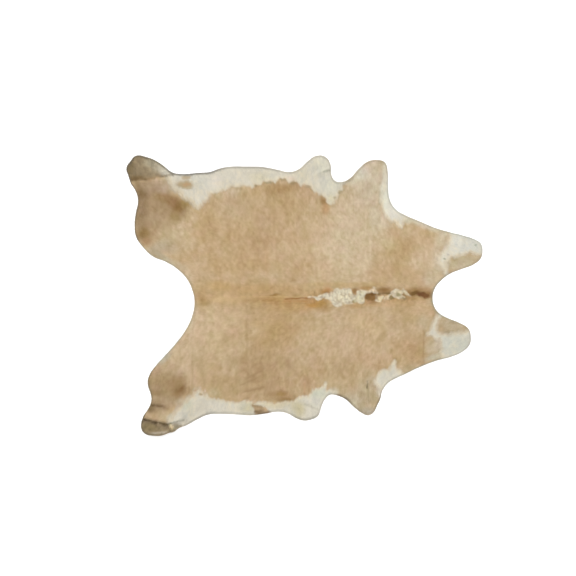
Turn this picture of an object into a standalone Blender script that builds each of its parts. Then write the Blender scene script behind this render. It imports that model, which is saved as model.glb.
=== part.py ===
"""A cowhide rug, lying flat with the hair up: the neck points along +X and the animal's left side along +Y."""

import bmesh
import bpy
import numpy as np

MM = 0.001

# The hide. The leather is the tanned skin, and the coat is the thickness of the short hair lying on it.
LEATHER = 2.5 * MM
COAT = 2.5 * MM
SPINE_Y = -15.0 * MM

# Where the two ends of the back line meet the trimmed edge.
TAIL_ROOT = (-703.0 * MM, -34.0 * MM)
NAPE = (819.0 * MM, -10.0 * MM)

# The trimmed edge, from the tail forward. A row is one landmark of the skin on both flanks, in millimetres:
# how far forward of the middle it lies, and how far out from the back line, on the left and on the right.
EDGE = (
    # landmark, left forward, left out, right forward, right out
    ("butt", -719, 58, -715, 106),
    ("high inner thigh", -756, 130, -758, 202),
    ("inner thigh", -817, 190, -827, 293),
    ("low inner thigh", -888, 233, -895, 369),
    ("gaskin", -964, 263, -952, 431),
    ("back of the gaskin", -1029, 321, -986, 482),
    ("above the hock", -1075, 388, -1002, 528),
    ("point of the hock", -1086, 461, -998, 570),
    ("below the hock", -1079, 541, -983, 613),
    ("hollow of the shank", -1064, 621, -979, 656),
    ("inner side of the shank", -1078, 682, -998, 704),
    ("inner end of the shank's crease", -1109, 731, -1028, 751),
    ("inner side of the turned-up end", -1125, 780, -1042, 791),
    ("heel of the turned-up end", -1137, 830, -1041, 835),
    ("sole of the turned-up end", -1111, 872, -1017, 865),
    ("toe of the turned-up end", -1077, 907, -967, 877),
    ("outer side of the turned-up end", -1009, 899, -911, 876),
    ("outer side, half way along", -946, 874, -868, 861),
    ("outer side, near the crease", -894, 838, -832, 852),
    ("outer end of the shank's crease", -847, 803, -806, 831),
    ("stifle", -772, 793, -754, 811),
    ("fore part of the stifle", -682, 800, -682, 771),
    ("flank", -605, 806, -615, 743),
    ("fold of the flank", -538, 829, -548, 739),
    ("hind belly", -471, 840, -445, 742),
    ("belly", -369, 840, -343, 748),
    ("fore belly", -269, 838, -257, 738),
    ("girth", -177, 821, -161, 725),
    ("hollow behind the elbow", -90, 806, -104, 738),
    ("hind side of the elbow flap", -30, 828, -58, 764),
    ("rise of the elbow flap", 19, 873, -8, 781),
    ("tip of the elbow flap", 78, 910, 43, 774),
    ("round of the elbow flap", 133, 902, 86, 751),
    ("fore side of the elbow flap", 165, 854, 102, 704),
    ("foot of the elbow flap", 169, 794, 128, 648),
    ("hind corner of the armpit", 192, 751, 159, 618),
    ("armpit", 233, 742, 207, 621),
    ("fore corner of the armpit", 287, 763, 263, 646),
    ("hind side of the fore leg", 350, 829, 315, 694),
    ("hind round of the fore leg's tip", 406, 873, 367, 734),
    ("tip of the fore leg", 463, 883, 406, 748),
    ("fore round of the fore leg's tip", 513, 868, 440, 730),
    ("fore side of the fore leg", 530, 813, 463, 685),
    ("low fore side of the fore leg", 533, 717, 486, 637),
    ("foot of the fore leg", 544, 630, 497, 592),
    ("hollow of the brisket", 582, 568, 534, 541),
    ("brisket", 655, 524, 591, 508),
    ("fore brisket", 739, 489, 653, 480),
    ("throat", 836, 448, 705, 454),
    ("hind side of the cheek", 931, 421, 773, 425),
    ("outer edge of the cheek", 1014, 400, 847, 398),
    ("fore edge of the cheek", 1084, 377, 937, 375),
    ("outer round of the cheek", 1127, 350, 1017, 338),
    ("tip of the cheek", 1138, 304, 1056, 296),
    ("inner round of the cheek", 1127, 255, 1063, 245),
    ("inner edge of the cheek", 1082, 216, 1049, 196),
    ("jaw", 1002, 185, 989, 157),
    ("side of the neck", 930, 156, 913, 126),
    ("side of the nape", 872, 112, 858, 93),
    ("crest", 833, 62, 831, 56),
)
EDGE_STEPS = 3  # chords between two landmarks

# The stiff shank ends turn up beyond a crease. A row is the crease's inner and outer end, then how high the end
# stands at its rim, how far out it takes to get there, and how softly it leaves the floor, in millimetres.
TURN_UPS = (
    # end, inner x, inner y, outer x, outer y, height, reach, softness
    ("left shank", -1112, 733, -829, 776, 27, 170, 22),
    ("right shank", -1040, -797, -846, -842, 24, 95, 14),
)

# Folds and wrinkles. A row is a soft ridge between two points: its height and its half width, in millimetres.
RIDGES = (
    # ridge, x1, y1, x2, y2, height, half width
    ("buckle behind the left crease", -1100, 712, -900, 742, 4, 34),
    ("buckle behind the right crease", -1020, -772, -870, -806, 4, 34),
    ("knuckle beside the right crease", -838, -838, -768, -802, 11, 34),
    ("wrinkle above the right crease", -980, -700, -908, -716, 5, 26),
    ("wrinkle of the left elbow flap", 80, 776, 150, 800, 6, 34),
    ("wrinkle of the right elbow flap", 0, -694, 92, -720, 6, 32),
    ("slack of the left elbow flap", 70, 850, 128, 846, 5, 60),
    ("slack of the right elbow flap", -20, -758, 50, -746, 5, 50),
    ("slack of the left fore leg", 440, 820, 480, 690, 6, 70),
    ("slack of the right fore leg", 396, -712, 420, -600, 6, 64),
    ("slack of the left cheek", 1010, 352, 1090, 322, 4, 60),
    ("slack of the right cheek", 950, -330, 1020, -290, 4, 60),
    ("slack of the left thigh", -1048, 400, -1040, 520, 5, 48),
    ("slack of the right thigh", -962, -500, -948, -610, 5, 44),
    ("loose left belly", -560, 806, -300, 812, 3, 40),
    ("loose right belly", -500, -734, -250, -738, 3, 36),
    ("first packing fold", -690, -130, -670, -540, 2, 40),
    ("second packing fold", -372, -70, -368, -610, 2.5, 36),
    ("packing fold of the neck", 762, 236, 752, 96, 2.5, 32),
    ("packing fold of the right neck", 760, -236, 752, -408, 2.5, 32),
    ("first ripple of the flank", -372, -430, -290, -400, 3, 28),
    ("second ripple of the flank", -360, -496, -272, -464, 3, 28),
    ("third ripple of the flank", -340, -562, -262, -532, 3, 28),
)

# The blank that the hide is cut from: strips of rows and of columns, closer together where it is folded.
COLUMN_STRIPS = (
    # strip, from, to, columns
    ("shanks", -1160, -800, 26),
    ("trunk", -800, 620, 48),
    ("neck", 620, 1160, 18),
)
ROW_STRIPS = (
    # strip, from, to, rows
    ("right legs", -920, -640, 20),
    ("right side", -640, -20, 21),
    ("left side", -20, 640, 22),
    ("left legs", 640, 920, 20),
)
CLEAN_CUT = 0.8 * MM  # corners nearer each other than this are made one after the trimming
HAIR_COLOUR = (0.53, 0.37, 0.21, 1.0)
HAIR_ROUGHNESS = 0.75


def clear_scene():
    for obj in list(bpy.data.objects):
        bpy.data.objects.remove(obj, do_unlink=True)


def new_collection(name):
    collection = bpy.data.collections.new(name)
    bpy.context.scene.collection.children.link(collection)
    return collection


def edge_points():
    """The landmarks in order round the hide: tail root, left side forward, nape, right side back."""
    left = [(forward * MM, SPINE_Y + out * MM) for _, forward, out, _, _ in EDGE]
    right = [(forward * MM, SPINE_Y - out * MM) for _, _, _, forward, out in EDGE]
    return [TAIL_ROOT, *left, NAPE, *reversed(right)]


def knife_line(height):
    """A block of the hide's plan, standing across the blank: a smooth closed curve through the landmarks, filled."""
    curve = bpy.data.curves.new("knife_line", "CURVE")
    curve.dimensions = "2D"
    curve.fill_mode = "BOTH"
    curve.resolution_u = EDGE_STEPS
    curve.extrude = height / 2
    spline = curve.splines.new("BEZIER")
    points = edge_points()
    spline.bezier_points.add(len(points) - 1)
    for knot, (x, y) in zip(spline.bezier_points, points):
        knot.co = (x, y, 0.0)
        knot.handle_left_type = "AUTO"
        knot.handle_right_type = "AUTO"
    spline.use_cyclic_u = True
    drawn = bpy.data.objects.new("knife_line_drawn", curve)
    bpy.context.scene.collection.objects.link(drawn)
    drawn.location.z = height / 4
    bpy.context.view_layer.update()
    mesh = bpy.data.meshes.new_from_object(drawn.evaluated_get(bpy.context.evaluated_depsgraph_get()))
    block = bpy.data.objects.new("knife_line", mesh)
    block.matrix_world = drawn.matrix_world.copy()
    bpy.data.objects.remove(drawn, do_unlink=True)
    shape = bmesh.new()
    shape.from_mesh(mesh)
    bmesh.ops.remove_doubles(shape, verts=shape.verts, dist=0.01 * MM)
    bmesh.ops.recalc_face_normals(shape, faces=shape.faces)
    shape.to_mesh(mesh)
    shape.free()
    return block


def along_and_away(x, y, x1, y1, x2, y2):
    """How far each point is along a segment, from 0 to 1, and its signed distance to the left of it."""
    dx, dy = x2 - x1, y2 - y1
    length = np.hypot(dx, dy)
    along = ((x - x1) * dx + (y - y1) * dy) / length**2
    away = (dx * (y - y1) - dy * (x - x1)) / length
    return along, away


def relief(x, y):
    """The underside's height above the floor, in millimetres, at points given in millimetres."""
    height = np.zeros_like(x)
    for name, x1, y1, x2, y2, top, reach, softness in TURN_UPS:
        along, away = along_and_away(x, y, x1, y1, x2, y2)
        beyond = np.maximum(away if y1 > 0 else -away, 0.0)
        share = np.clip(beyond**2 / (beyond + softness) / reach, 0.0, 1.0)
        fade = np.clip((1.35 - along) / 0.35, 0.0, 1.0)
        height += top * (1 - (1 - share) ** 2) * fade**2 * (3 - 2 * fade)
    for name, x1, y1, x2, y2, top, half_width in RIDGES:
        along, away = along_and_away(x, y, x1, y1, x2, y2)
        over = np.maximum(np.abs(along - 0.5) - 0.5, 0.0) * np.hypot(x2 - x1, y2 - y1)
        share = np.clip((away**2 + over**2) / half_width**2, 0.0, 1.0)
        height += top * (1 - share) ** 2
    return height


def strip_places(strips):
    """Evenly spaced places inside each strip, the strips' ends shared."""
    places = [np.linspace(low, high, count, endpoint=False) for _, low, high, count in strips]
    return np.concatenate([*places, [strips[-1][2]]])


def blank_skin():
    """The untrimmed skin: a grid laid out by the strips, lifted by the relief, and given its thickness upwards."""
    columns, rows = strip_places(COLUMN_STRIPS), strip_places(ROW_STRIPS)
    mesh = bpy.data.meshes.new("blank_skin")
    shape = bmesh.new()
    bmesh.ops.create_grid(shape, x_segments=len(columns) - 1, y_segments=len(rows) - 1, size=1.0)
    flat = np.array([corner.co for corner in shape.verts])
    x = columns[np.rint((flat[:, 0] + 1) / 2 * (len(columns) - 1)).astype(int)]
    y = rows[np.rint((flat[:, 1] + 1) / 2 * (len(rows) - 1)).astype(int)]
    for corner, *place in zip(shape.verts, x, y, relief(x, y)):
        corner.co = [part * MM for part in place]
    shape.to_mesh(mesh)
    shape.free()
    blank = bpy.data.objects.new("blank_skin", mesh)
    thickness = blank.modifiers.new("leather_and_coat", "SOLIDIFY")
    thickness.thickness = LEATHER + COAT
    thickness.offset = 1.0
    return blank


def trimmed(blank, knife, name):
    """The blank inside the knife line, as one closed mesh with no sliver left by the cut."""
    cut = blank.modifiers.new("trimmed_edge", "BOOLEAN")
    cut.operation = "INTERSECT"
    cut.solver = "EXACT"
    cut.object = knife
    bpy.context.view_layer.update()
    mesh = bpy.data.meshes.new_from_object(blank.evaluated_get(bpy.context.evaluated_depsgraph_get()))
    shape = bmesh.new()
    shape.from_mesh(mesh)
    bmesh.ops.remove_doubles(shape, verts=shape.verts, dist=CLEAN_CUT)
    bmesh.ops.dissolve_degenerate(shape, edges=shape.edges, dist=CLEAN_CUT / 4)
    bmesh.ops.triangulate(shape, faces=[face for face in shape.faces if len(face.verts) > 4])
    bmesh.ops.recalc_face_normals(shape, faces=shape.faces)
    shape.to_mesh(mesh)
    shape.free()
    mesh.name = name
    return bpy.data.objects.new(name, mesh)


def hair_on_leather():
    material = bpy.data.materials.new("hair_on_leather")
    material.use_nodes = True
    shader = material.node_tree.nodes["Principled BSDF"]
    shader.inputs["Base Color"].default_value = HAIR_COLOUR
    shader.inputs["Roughness"].default_value = HAIR_ROUGHNESS
    shader.inputs["Metallic"].default_value = 0.0
    return material


clear_scene()
rug = new_collection("cowhide_rug")
cutters = new_collection("cutters")

knife_block = knife_line(height=120 * MM)
blank_hide = blank_skin()
for helper in (knife_block, blank_hide):
    cutters.objects.link(helper)
    helper.hide_render = True
    helper.display_type = "WIRE"

hide = trimmed(blank_hide, knife_block, "hide")
hide.data.materials.clear()
hide.data.materials.append(hair_on_leather())
rug.objects.link(hide)
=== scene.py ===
"""A cowhide rug, lying flat, hair side up, with its neck along +X and the animal's left side along +Y."""

import math

import bpy
import numpy as np
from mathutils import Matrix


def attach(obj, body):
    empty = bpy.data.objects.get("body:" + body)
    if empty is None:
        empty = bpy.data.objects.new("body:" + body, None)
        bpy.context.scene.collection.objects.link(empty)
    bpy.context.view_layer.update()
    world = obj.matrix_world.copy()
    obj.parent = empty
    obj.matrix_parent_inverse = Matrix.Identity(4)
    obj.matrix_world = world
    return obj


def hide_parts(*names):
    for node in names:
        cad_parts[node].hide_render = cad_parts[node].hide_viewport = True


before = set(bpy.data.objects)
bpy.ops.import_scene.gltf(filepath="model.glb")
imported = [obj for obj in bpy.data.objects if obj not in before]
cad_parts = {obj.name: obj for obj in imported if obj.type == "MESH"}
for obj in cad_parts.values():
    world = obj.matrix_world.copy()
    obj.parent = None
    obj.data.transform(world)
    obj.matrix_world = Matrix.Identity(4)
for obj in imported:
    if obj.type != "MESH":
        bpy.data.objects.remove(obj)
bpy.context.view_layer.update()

# The skin
# One whole cow skin, tanned with the hair on. It is stretched on a frame to dry, its flesh side buffed to
# pale suede, and its edge trimmed with a knife. It lies loose on the floor.

MM = 0.001
LEATHER = 2.5  # the thickness, in mm as all sizes on the skin are
SPINE_Y = -15
TAIL_ROOT = (-703, -34)
NAPE = (819, -10)

EDGE = (
    # landmark, left forward, left out, right forward, right out
    ("butt", -719, 58, -715, 106),
    ("high inner thigh", -756, 130, -758, 202),
    ("inner thigh", -817, 190, -827, 293),
    ("low inner thigh", -888, 233, -895, 369),
    ("gaskin", -964, 263, -952, 431),
    ("back of the gaskin", -1029, 321, -986, 482),
    ("above the hock", -1075, 388, -1002, 528),
    ("point of the hock", -1086, 461, -998, 570),
    ("below the hock", -1079, 541, -983, 613),
    ("hollow of the shank", -1064, 621, -979, 656),
    ("inner side of the shank", -1078, 682, -998, 704),
    ("inner end of the shank's crease", -1109, 731, -1028, 751),
    ("inner side of the turned-up end", -1125, 780, -1042, 791),
    ("heel of the turned-up end", -1137, 830, -1041, 835),
    ("sole of the turned-up end", -1111, 872, -1017, 865),
    ("toe of the turned-up end", -1077, 907, -967, 877),
    ("outer side of the turned-up end", -1009, 899, -911, 876),
    ("outer side, half way along", -946, 874, -868, 861),
    ("outer side, near the crease", -894, 838, -832, 852),
    ("outer end of the shank's crease", -847, 803, -806, 831),
    ("stifle", -772, 793, -754, 811),
    ("fore part of the stifle", -682, 800, -682, 771),
    ("flank", -605, 806, -615, 743),
    ("fold of the flank", -538, 829, -548, 739),
    ("hind belly", -471, 840, -445, 742),
    ("belly", -369, 840, -343, 748),
    ("fore belly", -269, 838, -257, 738),
    ("girth", -177, 821, -161, 725),
    ("hollow behind the elbow", -90, 806, -104, 738),
    ("hind side of the elbow flap", -30, 828, -58, 764),
    ("rise of the elbow flap", 19, 873, -8, 781),
    ("tip of the elbow flap", 78, 910, 43, 774),
    ("round of the elbow flap", 133, 902, 86, 751),
    ("fore side of the elbow flap", 165, 854, 102, 704),
    ("foot of the elbow flap", 169, 794, 128, 648),
    ("hind corner of the armpit", 192, 751, 159, 618),
    ("armpit", 233, 742, 207, 621),
    ("fore corner of the armpit", 287, 763, 263, 646),
    ("hind side of the fore leg", 350, 829, 315, 694),
    ("hind round of the fore leg's tip", 406, 873, 367, 734),
    ("tip of the fore leg", 463, 883, 406, 748),
    ("fore round of the fore leg's tip", 513, 868, 440, 730),
    ("fore side of the fore leg", 530, 813, 463, 685),
    ("low fore side of the fore leg", 533, 717, 486, 637),
    ("foot of the fore leg", 544, 630, 497, 592),
    ("hollow of the brisket", 582, 568, 534, 541),
    ("brisket", 655, 524, 591, 508),
    ("fore brisket", 739, 489, 653, 480),
    ("throat", 836, 448, 705, 454),
    ("hind side of the cheek", 931, 421, 773, 425),
    ("outer edge of the cheek", 1014, 400, 847, 398),
    ("fore edge of the cheek", 1084, 377, 937, 375),
    ("outer round of the cheek", 1127, 350, 1017, 338),
    ("tip of the cheek", 1138, 304, 1056, 296),
    ("inner round of the cheek", 1127, 255, 1063, 245),
    ("inner edge of the cheek", 1082, 216, 1049, 196),
    ("jaw", 1002, 185, 989, 157),
    ("side of the neck", 930, 156, 913, 126),
    ("side of the nape", 872, 112, 858, 93),
    ("crest", 833, 62, 831, 56),
)
EDGE_STEPS = 6  # points on the curve from one landmark to the next
SMOOTH_HANDLE = 1 / 2.5614  # of the chord: how far a curve's handles stand off its landmarks

TURN_UPS = (
    # end, inner x, inner y, outer x, outer y, height, reach, softness
    ("left shank", -1112, 733, -829, 776, 27, 170, 22),
    ("right shank", -1040, -797, -846, -842, 24, 95, 14),
)
TURN_UP_STOPS, TURN_UP_FADES = 1.35, 0.35  # along the crease: where an end lies flat again, and over how much
RIDGES = (
    # ridge, x1, y1, x2, y2, height, half width
    ("buckle behind the left crease", -1100, 712, -900, 742, 4, 34),
    ("buckle behind the right crease", -1020, -772, -870, -806, 4, 34),
    ("knuckle beside the right crease", -838, -838, -768, -802, 11, 34),
    ("wrinkle above the right crease", -980, -700, -908, -716, 5, 26),
    ("wrinkle of the left elbow flap", 80, 776, 150, 800, 6, 34),
    ("wrinkle of the right elbow flap", 0, -694, 92, -720, 6, 32),
    ("slack of the left elbow flap", 70, 850, 128, 846, 5, 60),
    ("slack of the right elbow flap", -20, -758, 50, -746, 5, 50),
    ("slack of the left fore leg", 440, 820, 480, 690, 6, 70),
    ("slack of the right fore leg", 396, -712, 420, -600, 6, 64),
    ("slack of the left cheek", 1010, 352, 1090, 322, 4, 60),
    ("slack of the right cheek", 950, -330, 1020, -290, 4, 60),
    ("slack of the left thigh", -1048, 400, -1040, 520, 5, 48),
    ("slack of the right thigh", -962, -500, -948, -610, 5, 44),
    ("loose left belly", -560, 806, -300, 812, 3, 40),
    ("loose right belly", -500, -734, -250, -738, 3, 36),
    ("first packing fold", -690, -130, -670, -540, 2, 40),
    ("second packing fold", -372, -70, -368, -610, 2.5, 36),
    ("packing fold of the neck", 762, 236, 752, 96, 2.5, 32),
    ("packing fold of the right neck", 760, -236, 752, -408, 2.5, 32),
    ("first ripple of the flank", -372, -430, -290, -400, 3, 28),
    ("second ripple of the flank", -360, -496, -272, -464, 3, 28),
    ("third ripple of the flank", -340, -562, -262, -532, 3, 28),
)
NET_SIDE, NET_START = 509, 200.0  # of a mottle's net: its squares a side, and the one that X and Y start in
SKIN_CELL = 8.0  # side of the net's squares
POINTS_AT_ONCE = 20000  # how many points are held against the whole edge together


def trimmed_edge():
    """The edge as a closed ring of points: a cubic curve from each landmark to the next, whose handles
    point along the sum of the directions to the landmarks on both sides."""
    left = [(forward, SPINE_Y + out) for _, forward, out, _, _ in EDGE]
    right = [(forward, SPINE_Y - out) for _, _, _, forward, out in EDGE]
    knots = np.array([TAIL_ROOT, *left, NAPE, *reversed(right)], float)
    ahead = np.roll(knots, -1, 0) - knots
    chord = np.linalg.norm(ahead, axis=1)[:, None]
    heading = ahead / chord + np.roll(ahead / chord, 1, 0)
    heading /= np.linalg.norm(heading, axis=1)[:, None]
    leaving = knots + heading * chord * SMOOTH_HANDLE
    arriving = np.roll(knots, -1, 0) - np.roll(heading, -1, 0) * chord * SMOOTH_HANDLE
    t = np.linspace(0, 1, EDGE_STEPS, endpoint=False)[None, :, None]
    ends = [points[:, None] for points in (knots, leaving, arriving, np.roll(knots, -1, 0))]
    weights = ((1 - t) ** 3, 3 * (1 - t) ** 2 * t, 3 * (1 - t) * t**2, t**3)
    return sum(weight * end for weight, end in zip(weights, ends)).reshape(-1, 2)


def reach_inside(x, y, ring):
    """How far each point lies inside a closed ring, negative outside, and the nearest place on the ring: the
    least distance to a side, signed by whether a line to the right crosses an odd number of sides."""
    start, side = ring, np.roll(ring, -1, 0) - ring
    reach, foot = np.empty(len(x)), np.empty((len(x), 2))
    for chunk in np.array_split(np.arange(len(x)), len(x) // POINTS_AT_ONCE + 1):
        px, py = x[chunk, None], y[chunk, None]
        dx, dy = px - start[:, 0], py - start[:, 1]
        along = np.clip((dx * side[:, 0] + dy * side[:, 1]) / (side**2).sum(1), 0, 1)
        away = (dx - along * side[:, 0]) ** 2 + (dy - along * side[:, 1]) ** 2
        near = away.argmin(1)
        rows = np.arange(len(chunk))
        straddles = (dy < 0) != (dy < side[:, 1])
        crosses = straddles & (dx < dy * side[:, 0] / np.where(side[:, 1] == 0, 1, side[:, 1]))
        inside = crosses.sum(1) % 2 == 1
        reach[chunk] = np.sqrt(away[rows, near]) * np.where(inside, 1, -1)
        foot[chunk] = start[near] + along[rows, near, None] * side[near]
    return reach, foot


def along_and_away(x, y, x1, y1, x2, y2):
    """How far each point is along a segment, from 0 to 1, and its signed distance to the left of it."""
    dx, dy = x2 - x1, y2 - y1
    length = np.hypot(dx, dy)
    along = ((x - x1) * dx + (y - y1) * dy) / length**2
    away = (dx * (y - y1) - dy * (x - x1)) / length
    return along, away


def beyond_crease(x, y, x1, y1, x2, y2):
    """How far a point lies beyond a shank's crease, towards the shank's end, and how much of the crease it
    faces: all of it up to the crease's outer end, then falling off as a smoothstep."""
    along, away = along_and_away(x, y, x1, y1, x2, y2)
    fade = np.clip((TURN_UP_STOPS - along) / TURN_UP_FADES, 0.0, 1.0)
    return np.maximum(away if y1 > 0 else -away, 0.0), fade**2 * (3 - 2 * fade)


def relief(x, y):
    """The skin's height above the floor, as in the solid: each turned-up end climbs as a parabola that
    levels off, and each ridge is one minus the squared distance from its line, squared. All of them are
    added up."""
    height = np.zeros_like(x)
    for _, x1, y1, x2, y2, top, reach, softness in TURN_UPS:
        beyond, facing = beyond_crease(x, y, x1, y1, x2, y2)
        share = np.clip(beyond**2 / (beyond + softness) / reach, 0.0, 1.0)
        height += top * (1 - (1 - share) ** 2) * facing
    for _, x1, y1, x2, y2, top, half_width in RIDGES:
        along, away = along_and_away(x, y, x1, y1, x2, y2)
        over = np.maximum(np.abs(along - 0.5) - 0.5, 0.0) * np.hypot(x2 - x1, y2 - y1)
        share = np.clip((away**2 + over**2) / half_width**2, 0.0, 1.0)
        height += top * (1 - share) ** 2
    return height


def linear(colour):
    """A hex sRGB colour as linear red, green and blue."""
    parts = np.array([int(colour[i : i + 2], 16) / 255 for i in (1, 3, 5)])
    return np.where(parts <= 0.04045, parts / 12.92, ((parts + 0.055) / 1.055) ** 2.4)


def mottle(x, y, size, seed):
    """Smooth patches of that size, from -1 to 1: random heights at the corners of a square net, joined by
    smoothsteps."""
    heights = np.random.default_rng(seed).uniform(-1, 1, (NET_SIDE, NET_SIDE))
    u, v = x / size + NET_START, y / size + NET_START
    column, row = np.floor(u).astype(int), np.floor(v).astype(int)
    u, v = u - column, v - row
    u, v = u * u * (3 - 2 * u), v * v * (3 - 2 * v)
    here, next_one = column % NET_SIDE, (column + 1) % NET_SIDE
    low, high = (heights[line, here] * (1 - u) + heights[line, next_one] * u
                 for line in (row % NET_SIDE, (row + 1) % NET_SIDE))
    return low * (1 - v) + high * v


def mottles(x, y, *layers):
    """A sum of mottles. Each has its strength, its size along the back in mm, that size as a share of the one
    across the back, and its seed."""
    return sum(strength * mottle(x, y * drawn, size, seed) for strength, size, drawn, seed in layers)


# The coat's markings, in mm on the plan. White grows inside each ring. Fray is how far its border wanders,
# and blend the width over which white and tan hairs stand mixed.
WHITE_RINGS = (
    # patch, fray, blend, places round it
    ("left stifle", 9, 42, (
        (-855, 869), (-880, 767), (-868, 738), (-848, 708), (-828, 682), (-799, 661), (-775, 637),
        (-752, 618), (-729, 604), (-712, 589), (-699, 572), (-686, 564), (-669, 570), (-650, 586),
        (-631, 600), (-618, 626), (-609, 648), (-573, 709), (-509, 837), (-669, 933),
    )),
    ("left belly", 6, 14, (
        (-669, 933), (-650, 690), (-615, 653), (-580, 661), (-548, 664), (-522, 671), (-503, 680),
        (-477, 690), (-468, 701), (-445, 703), (-413, 700), (-388, 703), (-349, 696), (-327, 696),
        (-321, 712), (-305, 714), (-285, 717), (-260, 728), (-234, 732), (-202, 733), (-189, 722),
        (-180, 738), (-164, 744), (-151, 754), (-132, 751), (-113, 738), (-100, 726), (-87, 726),
        (-71, 735), (-55, 732), (-42, 716), (-23, 703), (-4, 709), (28, 712), (47, 696), (67, 674),
        (92, 648), (118, 639), (137, 620), (153, 594), (169, 584), (185, 597), (198, 623), (207, 645),
        (217, 664), (233, 677), (246, 696), (259, 716), (278, 728), (291, 754), (259, 933), (-349, 965),
    )),
    ("left brisket", 8, 28, (
        (534, 869), (520, 792), (509, 754), (502, 716), (499, 677), (489, 645), (492, 607), (499, 575),
        (508, 549), (518, 524), (534, 498), (547, 482), (572, 479), (595, 469), (604, 447), (617, 438),
        (628, 460), (633, 482), (655, 495), (687, 536), (611, 613), (585, 837),
    )),
    ("left cheek", 7, 32, (
        (924, 447), (921, 383), (918, 351), (911, 319), (895, 296), (873, 274), (862, 248), (860, 223),
        (869, 201), (882, 180), (890, 152), (902, 120), (916, 152), (906, 186), (904, 214), (920, 240),
        (937, 250), (969, 255), (995, 259), (1027, 268), (1059, 276), (1091, 274), (1116, 264), (1161, 255),
        (1161, 389), (1027, 447),
    )),
    ("right cheek", 7, 28, (
        (867, -104), (841, -136), (828, -158), (812, -177), (806, -200), (799, -222), (787, -241),
        (793, -253), (815, -259), (841, -273), (863, -285), (873, -308), (876, -347), (873, -385),
        (867, -430), (1027, -398), (1110, -251), (1084, -212), (1055, -225), (1033, -228), (1007, -234),
        (975, -235), (943, -241), (918, -251), (889, -244), (863, -234), (849, -212), (843, -187),
        (854, -164), (867, -142), (886, -116),
    )),
    ("right brisket", 6, 22, (
        (521, -628), (483, -596), (467, -580), (449, -571), (441, -555), (451, -532), (460, -513),
        (470, -496), (478, -479), (502, -475), (534, -474), (547, -456), (558, -436), (564, -416),
        (574, -416), (580, -443), (585, -462), (604, -470), (620, -483), (630, -500), (636, -539),
        (559, -616),
    )),
    ("right stifle", 8, 40, (
        (-872, -822), (-864, -795), (-850, -768), (-834, -744), (-813, -724), (-790, -703), (-772, -686),
        (-757, -668), (-740, -652), (-722, -640), (-708, -622), (-696, -604), (-682, -598), (-668, -606),
        (-656, -624), (-573, -699), (-637, -827), (-765, -884),
    )),
    ("right belly", 6, 14, (
        (-669, -840), (-669, -667), (-653, -632), (-641, -643), (-618, -651), (-586, -657), (-554, -660),
        (-516, -667), (-484, -673), (-458, -678), (-433, -683), (-413, -675), (-388, -675), (-356, -673),
        (-340, -673), (-330, -686), (-314, -683), (-308, -673), (-273, -671), (-241, -673), (-221, -684),
        (-189, -684), (-157, -678), (-119, -678), (-93, -673), (-71, -678), (-58, -669), (-49, -656),
        (-33, -643), (-4, -643), (22, -638), (38, -625), (44, -606), (54, -596), (79, -593), (105, -586),
        (118, -574), (123, -552), (134, -547), (142, -571), (148, -600), (163, -600), (182, -611),
        (201, -625), (227, -680), (131, -840),
    )),
    ("withers", 4, 5, (
        (15, -4), (54, -1), (79, -6), (99, 5), (108, 10), (131, 16), (157, 16), (179, 28), (191, 44),
        (211, 50), (227, 44), (252, 50), (284, 48), (297, 37), (302, 22), (312, 10), (328, 12), (335, 31),
        (351, 39), (380, 36), (393, 31), (412, 36), (428, 47), (438, 60), (446, 56), (452, 40), (463, 24),
        (466, 14), (452, 17), (430, 22), (406, 18), (390, 10), (382, -8), (382, -33), (374, -50),
        (351, -51), (339, -42), (323, -36), (303, -49), (271, -51), (246, -52), (230, -64), (211, -74),
        (188, -65), (172, -52), (159, -30), (150, -23), (127, -13), (105, -25), (86, -29), (54, -17),
        (22, -12),
    )),
    ("behind the crest", 3, 5, (
        (451, 2), (470, -4), (489, -1), (502, 2), (515, -4), (534, -1), (547, 15), (556, 28), (566, 37),
        (579, 44), (598, 40), (611, 31), (620, 40), (630, 53), (643, 40), (655, 24), (675, 5), (684, -4),
        (662, -4), (649, 5), (636, 21), (630, 24), (627, 5), (643, -8), (630, -17), (604, -24), (585, -11),
        (566, -4), (553, 5), (543, -11), (534, -27), (512, -28), (497, -20), (484, -41), (463, -38),
        (447, -30), (457, -17),
    )),
)
BELLY_PATCH = (
    (-341, -696), (-324, -721), (-317, -760), (-273, -763), (-221, -747), (-237, -731), (-250, -715),
    (-273, -707), (-305, -700),
)
TAN, PALE_TAN, REDDISH_TAN = linear("#c3a983"), linear("#ccb796"), linear("#bb996f")
WHITE, CREAM, COOL_GREY = linear("#d9d2c3"), linear("#dbceb3"), linear("#cccac1")
BORDER_BROWN, ROAN_BROWN, PATCH_TAN = linear("#8f7a50"), linear("#8c6a3c"), linear("#b99c76")
# RIM_GREY is the colour of the painted shade along the cut edge.
SHANK_TAUPE, RIM_GREY, BACK_BROWN = linear("#988669"), linear("#8d8471"), linear("#b68e50")

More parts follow.
